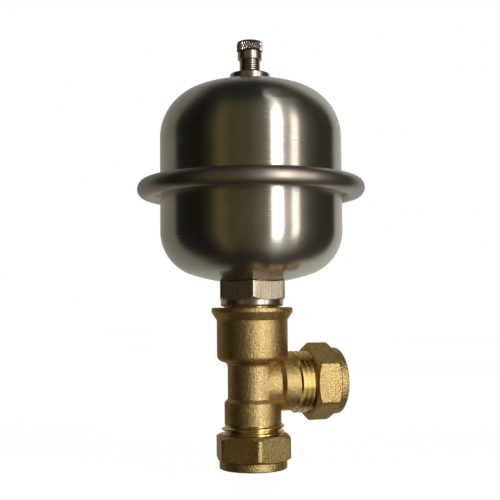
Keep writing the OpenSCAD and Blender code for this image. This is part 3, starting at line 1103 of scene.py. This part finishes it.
@dataclass
class ValveStem:
    """Charging valve body with its rounded base collar and fine thread."""

    top_z: float = 139.55
    collar_z: float = 129.5
    collar_r: float = 7.55
    collar_round: float = 0.5
    under_r: float = 6.2
    neck_low: float = 122.6
    neck_r: float = 5.0
    core_r: float = 3.35
    crest_r: float = 3.85
    pitch: float = 0.794
    plug_r: float = 2.6
    plug_z: float = 134.55
    tail_r: float = 2.1
    tail_z: float = 133.05
    crown_r: float = 62.05
    crown_z: float = 65.1
    tip: float = 0.5
    tip_in: float = 0.4
    thread_from: float = 0.1
    thread_to: float = 0.3
    thread_steps: int = 36
    crest: float = 0.24
    valley_shade_in: float = 0.1
    valley_shade_out: float = 0.2

    def build(self, shop: Workshop) -> Object:
        """Turns the body, winds its thread and hands it in.

        Args:
            shop: keeper of the materials.

        Returns:
            The new object.
        """
        seat = (self.neck_r, self.under_r, self.collar_r)
        under = [(r, self.crown_z + math.sqrt(self.crown_r**2 - r**2)) for r in seat]
        edge = (self.collar_r - self.collar_round, self.collar_z - self.collar_round)
        section = [
            (self.tail_r, self.neck_low),
            (self.neck_r, self.neck_low),
            *under,
            *arc(edge, self.collar_round, 0.0, 90.0, 10),
            (self.core_r, self.collar_z),
            (self.core_r, self.top_z - self.tip),
            (self.core_r - self.tip_in, self.top_z),
            (self.plug_r, self.top_z),
            (self.plug_r, self.plug_z),
            (self.tail_r, self.tail_z),
        ]
        # the crests are drawn broad, because the fine thread would not show in the render
        radii = (self.core_r, self.crest_r)
        span = (self.collar_z + self.thread_from, self.top_z - self.thread_to)
        thread = screw_thread(radii, self.pitch, span, self.collar_z, self.thread_steps, self.crest)
        bm = combine(lathe(section), (Join.UNION, thread))
        # faces in the thread's valleys take the darker plating, which is painted shade between the
        # ridges
        inner, outer = self.core_r - self.valley_shade_in, self.core_r + self.valley_shade_out
        for face in bm.faces:
            spot = face.calc_center_median()
            valley = inner < spot.xy.length < outer
            face.material_index = int(valley and spot.z > self.collar_z + NEAR)
        slots = ["nickel_plate", "valley_shade_plate"]
        return shop.piece("Charging_valve_body", bm, slots, Body.FIXED, "valve_stem")


@dataclass
class ValveCap:
    """Screw cap with a plain skirt and a diamond-knurled drum."""

    low: float = 134.85
    skirt_r: float = 4.525
    drum_z: float = 137.65
    edge_z: float = 141.75
    top_z: float = 142.25
    core_r: float = 4.5
    knurl_r: float = 4.925
    bore_r: float = 3.95
    ceiling_z: float = 140.55
    columns: int = 32
    rows: int = 2
    knurl_depth: float = 0.34
    knurl_edge: float = 0.15
    knurl_sunk: float = 0.3
    groove: Point = (0.125, 0.05)
    flank: Point = (0.14, 0.19)
    peak: float = 0.08
    skirt_round: float = 0.25
    mouth_edge: Point = (0.1, 0.2)
    drum_edge: Point = (0.05, 0.1)
    dome_in: float = 0.2
    steps: int = 64

    def knurl(self) -> BMesh:
        """Cuts the diamond pattern of the drum.

        Returns:
            A closed band of raised diamonds, in millimetres.
        """
        low, high = self.drum_z + self.knurl_edge, self.edge_z - self.knurl_edge
        base_r = self.knurl_r - self.knurl_depth
        shrink = (self.core_r - self.knurl_sunk) / base_r
        bm = bmesh.new()
        rim = bmesh.ops.create_circle(bm, segments=self.columns, radius=base_r)["verts"]
        bmesh.ops.translate(bm, vec=(0, 0, low), verts=rim)
        loop = list(bm.edges)
        for _ in range(self.rows):
            grown = bmesh.ops.extrude_edge_only(bm, edges=loop)["geom"]
            raised = [g for g in grown if isinstance(g, BMVert)]
            loop = [g for g in grown if isinstance(g, BMEdge)]
            bmesh.ops.translate(bm, vec=(0, 0, (high - low) / self.rows), verts=raised)
        square = [e for e in bm.edges if not e.is_boundary]
        bmesh.ops.poke(bm, faces=bm.faces)
        bmesh.ops.dissolve_edges(bm, edges=square, use_verts=False)
        bmesh.ops.recalc_face_normals(bm, faces=bm.faces)
        sample = next(iter(bm.faces))
        if sample.normal.dot(sample.calc_center_median() * Vector((1, 1, 0))) < 0:
            bmesh.ops.reverse_faces(bm, faces=bm.faces)
        diamonds = [f for f in bm.faces if len(f.verts) == 4]
        # the groove faces get the dark plating, which is painted shade in the knurl's grooves, and
        # the diamonds get the rubbed plating
        for index, faces, (width, depth) in ((1, bm.faces, self.groove), (2, diamonds, self.flank)):
            for face in faces:
                face.material_index = index
            bmesh.ops.inset_individual(
                bm, faces=diamonds, thickness=width, depth=depth, use_even_offset=True
            )
        bmesh.ops.poke(bm, faces=diamonds, offset=self.peak)
        for height, lift in ((low, -self.knurl_edge), (high, self.knurl_edge)):
            border = [e for e in bm.edges if e.is_boundary and abs(e.verts[0].co.z - height) < 0.01]
            grown = bmesh.ops.extrude_edge_only(bm, edges=border)["geom"]
            lip = [g for g in grown if isinstance(g, BMVert)]
            bmesh.ops.scale(bm, vec=(shrink, shrink, 1.0), verts=lip)
            bmesh.ops.translate(bm, vec=(0, 0, lift), verts=lip)
        bmesh.ops.bridge_loops(bm, edges=[e for e in bm.edges if e.is_boundary])
        bmesh.ops.recalc_face_normals(bm, faces=bm.faces)
        return bm

    def build(self, shop: Workshop) -> Object:
        """Turns the cap, knurls its drum and hands it in.

        Args:
            shop: keeper of the materials.

        Returns:
            The new object.
        """
        dome_r = self.core_r - self.dome_in
        rise = self.top_z - self.edge_z
        ball = (dome_r**2 + rise**2) / (2 * rise)
        tilt = math.degrees(math.asin(dome_r / ball))
        edge = (self.skirt_r - self.skirt_round, self.low + self.skirt_round)
        section = [
            (0.0, self.ceiling_z),
            (self.bore_r, self.ceiling_z),
            (self.bore_r, self.low + self.mouth_edge[1]),
            (self.bore_r + self.mouth_edge[0], self.low),
            *arc(edge, self.skirt_round, -90.0, 0.0, 5),
            (self.skirt_r, self.drum_z),
            (self.core_r, self.drum_z + self.drum_edge[0]),
            (self.core_r, self.edge_z - self.drum_edge[1]),
            *arc((0.0, self.top_z - ball), ball, 90.0 - tilt, 90.0, 7),
        ]
        section[-1] = (0.0, self.top_z)
        bm = combine(lathe(section, self.steps, ring=False), (Join.UNION, self.knurl()))
        slots = ["nickel_plate", "groove_shade_plate", "polished_plate"]
        return shop.piece("Knurled_valve_cap", bm, slots, Body.CAP, "valve_cap", 20.0)


@dataclass
class CoreSpring:
    """Coil spring of the valve core, wound at rest; the real spring shortens as the pin is pressed.
    """

    coil_r: float = 0.925
    wire_r: float = 0.14
    low: float = 128.9
    high: float = 133.95
    turns: int = 5
    steps: int = 40
    sides: int = 12

    def build(self, shop: Workshop) -> Object:
        """Winds the wire and hands the spring in.

        Args:
            shop: keeper of the materials.

        Returns:
            The new object.
        """
        start, end = self.low + self.wire_r, self.high - self.wire_r
        count = self.turns * self.steps
        upright = Matrix.Rotation(math.radians(90), 4, "X")
        stand = Matrix.Translation((self.coil_r, 0.0, start)) @ upright
        bm = bmesh.new()
        bmesh.ops.create_circle(bm, segments=self.sides, radius=self.wire_r, matrix=stand)
        bmesh.ops.spin(
            bm,
            geom=[*bm.verts, *bm.edges],
            cent=(0, 0, 0),
            axis=(0, 0, 1),
            dvec=(0, 0, (end - start) / count),
            angle=math.tau * self.turns,
            steps=count,
        )
        bmesh.ops.holes_fill(bm, edges=[e for e in bm.edges if e.is_boundary], sides=self.sides)
        bmesh.ops.recalc_face_normals(bm, faces=bm.faces)
        far = FarEnd(Body.CORE_PIN, start, end)
        return shop.piece("Core_spring", bm, ["spring_steel"], Body.FIXED, "pin_spring", far=far)


@dataclass(frozen=True)
class Strip:
    """Upright strip light: its turn to the right of the camera, its size, the height of its middle,
    the brightness of its face, where 1 is the white of the picture, and its colour."""

    name: str
    turn: float
    width: float
    height: float
    level: float
    glow: float
    tint: str = "#fffdf8"


# The streaks on the vessel come from a strip in three lengths and a dimmer one beside it
STRIPS = (
    Strip("Wide_strip", 32.0, 150.0, 560.0, 240.0, 4.6),
    Strip("Lower_strip", 32.0, 150.0, 190.0, -135.0, 6.4),
    Strip("Upper_strip", 39.0, 60.0, 1700.0, 1370.0, 2.4),
    Strip("Narrow_strip", 55.0, 120.0, 640.0, 130.0, 1.8, "#fff4ee"),
)

# Light that the room sends from each bearing, in degrees to the right of the camera
ROOM: tuple[tuple[float, tuple[float, float, float]], ...] = (
    (-180, (0.50, 0.48, 0.44)),
    (-160, (0.32, 0.305, 0.27)),
    (-135, (0.25, 0.235, 0.20)),
    (-112, (0.19, 0.175, 0.14)),
    (-104, (0.015, 0.015, 0.011)),
    (-66, (0.010, 0.010, 0.007)),
    (-52, (0.035, 0.03, 0.02)),
    (-38, (0.135, 0.106, 0.046)),
    (-24, (0.078, 0.064, 0.032)),
    (0, (0.095, 0.081, 0.05)),
    (18, (0.19, 0.168, 0.12)),
    (44, (0.60, 0.56, 0.49)),
    (66, (0.28, 0.25, 0.22)),
    (76, (0.10, 0.088, 0.076)),
    (92, (0.048, 0.044, 0.037)),
    (124, (0.03, 0.03, 0.024)),
    (131, (0.42, 0.40, 0.35)),
    (150, (0.56, 0.54, 0.49)),
    (180, (0.50, 0.48, 0.44)),
)


@dataclass
class Studio:
    """Camera, floor, lights and surroundings, fitted to the photograph's view."""

    azimuth: float = -20.0
    distance: float = 350.0
    height: float = 41.08
    pitch: float = 3.647
    roll: float = -0.52
    focal: float = 943.7
    picture: float = 500.0
    aim: float = 1.5
    sensor: float = 36.0
    floor_z: float = -24.0
    floor_half: float = 4000.0
    lamp_distance: float = 700.0
    floor_glow: float = 7.0
    floor_glow_angle: float = 120.0
    pole_light: Colour = (0.02, 0.021, 0.017, 1.0)
    ceiling: Point = (0.70, 0.88)
    ground: Point = (-0.74, -0.92)

    def camera(self) -> None:
        """Places the camera at the photograph's viewpoint."""
        a, e, r = (math.radians(v) for v in (self.azimuth, self.pitch, self.roll))
        a += math.atan(self.aim / self.focal)
        back = math.radians(self.azimuth)
        level = Vector((-math.sin(a), math.cos(a), 0.0))
        right = Vector((math.cos(a), math.sin(a), 0.0))
        ahead = level * math.cos(e) + Vector((0, 0, math.sin(e)))
        above = right.cross(ahead)
        side = right * math.cos(r) + above * math.sin(r)
        top = above * math.cos(r) - right * math.sin(r)
        data = bpy.data.cameras.new("View")
        data.sensor_width = self.sensor
        data.lens = self.focal / self.picture * data.sensor_width
        data.clip_start = 0.01
        view = put("View", data)
        turned = Matrix((side, top, -ahead)).transposed().to_4x4()
        spot = Vector((math.sin(back), -math.cos(back), 0.0)) * self.distance
        spot.z = self.height
        view.matrix_world = Matrix.Translation(spot * MM) @ turned
        bpy.context.scene.camera = view

    def floor(self) -> None:
        """Lays a plain pale floor a little below the loosest nut."""
        bm = bmesh.new()
        bmesh.ops.create_grid(bm, x_segments=8, y_segments=8, size=self.floor_half)
        bmesh.ops.translate(bm, vec=(0, 0, self.floor_z), verts=bm.verts)
        bmesh.ops.scale(bm, vec=(MM, MM, MM), verts=bm.verts)
        ground = put("Floor", as_mesh(bm, "Floor"))
        ground.data.materials.append(LitFloor().build())
        ground.visible_glossy = ground.visible_diffuse = ground.visible_shadow = False

    def hang(self, strip: Strip) -> None:
        """Hangs a strip light that faces the object.

        Args:
            strip: the strip light.
        """
        data = bpy.data.lights.new(strip.name, "AREA")
        data.shape = "RECTANGLE"
        data.size, data.size_y = strip.width * MM, strip.height * MM
        data.energy = strip.glow * math.pi * data.size * data.size_y
        data.color = colour(strip.tint)[:3]
        lamp = put(strip.name, data)
        heading = math.radians(self.azimuth - 90.0 + strip.turn)
        out = Vector((math.cos(heading), math.sin(heading), 0.0))
        lamp.location = (out * self.lamp_distance + Vector((0, 0, strip.level))) * MM
        lamp.rotation_euler = (-out).to_track_quat("-Z", "Y").to_euler()
        lamp.visible_camera = False

    def lights(self) -> None:
        """Hangs the strip lights and a soft light over the object."""
        for strip in STRIPS:
            self.hang(strip)
        data = bpy.data.lights.new("Floor_light", "SUN")
        data.energy = self.floor_glow
        data.angle = math.radians(self.floor_glow_angle)
        put("Floor_light", data).visible_glossy = False

    def surroundings(self) -> None:
        """Sets up the room that the metal mirrors, and the white that the camera sees."""
        world = bpy.data.worlds.new("Room")
        bpy.context.scene.world = world
        world.use_nodes = True
        tree = world.node_tree
        tree.nodes.clear()
        a = math.radians(self.azimuth)
        way = add_node(tree, "TexCoord").outputs["Generated"]
        right, front = (
            add_node(tree, "VectorMath", {0: way, 1: axis}, operation="DOT_PRODUCT").outputs["Value"]
            for axis in ((math.cos(a), math.sin(a), 0.0), (math.sin(a), -math.cos(a), 0.0))
        )
        bearing = add_node(tree, "Math", {0: right, 1: front}, operation="ARCTAN2")
        circle = {"Value": bearing, "From Min": -math.pi, "From Max": math.pi}
        wall = add_node(tree, "ValToRGB", {0: add_node(tree, "MapRange", circle)})
        set_ramp(wall, [((angle + 180) / 360, (*shade, 1.0)) for angle, shade in ROOM])
        steep = add_node(tree, "SeparateXYZ", {0: way}).outputs["Z"]
        upward, downward = (
            add_node(tree, "MapRange", {"Value": steep, "From Min": near, "From Max": far})
            for near, far in (self.ceiling, self.ground)
        )
        poles = add_node(tree, "Math", {0: upward, 1: downward}, operation="MAXIMUM")
        mixed = {"Factor": poles, "A": wall, "B": self.pole_light}
        room = add_node(tree, "Mix", mixed, data_type="RGBA").outputs[2]
        seen = add_node(tree, "Background", {"Color": WHITE, "Strength": 1.0})
        mirrored = add_node(tree, "Background", {"Color": room, "Strength": 1.0})
        path = add_node(tree, "LightPath").outputs["Is Camera Ray"]
        both = add_node(tree, "MixShader", {0: path, 1: mirrored, 2: seen})
        add_node(tree, "OutputWorld", {"Surface": both})

    def build(self) -> None:
        """Sets up the view, the floor and the light."""
        self.camera()
        self.floor()
        self.lights()
        self.surroundings()
        bpy.context.scene.view_settings.view_transform = "Standard"


def main() -> None:
    """Builds every piece and reports it."""
    logging.basicConfig(level=logging.INFO, format="%(name)s: %(message)s")
    shop = Workshop()
    shop.dress_nodes()
    pieces = [
        HalfShell("Upper_half_shell", "upper_shell", 41.2, 62.0, 19.5, 5.05, True),
        HalfShell("Lower_half_shell", "lower_shell", 35.1, 72.0, 16.8, 8.05, False),
        SeamRing(),
        ConnectionBoss(),
        TeeForging(),
        CompressionNut("Run_compression_nut", "run_nut", Body.RUN_NUT, 19.0),
        CompressionNut("Branch_compression_nut", "branch_nut", Body.BRANCH_NUT, 0.0),
        ValveStem(),
        ValveCap(),
        CoreSpring(),
    ]
    for piece in pieces:
        made = piece.build(shop)
        log.info("%s: %d faces", made.name, len(made.data.polygons))
    Studio().build()


if __name__ == "__main__":
    main()
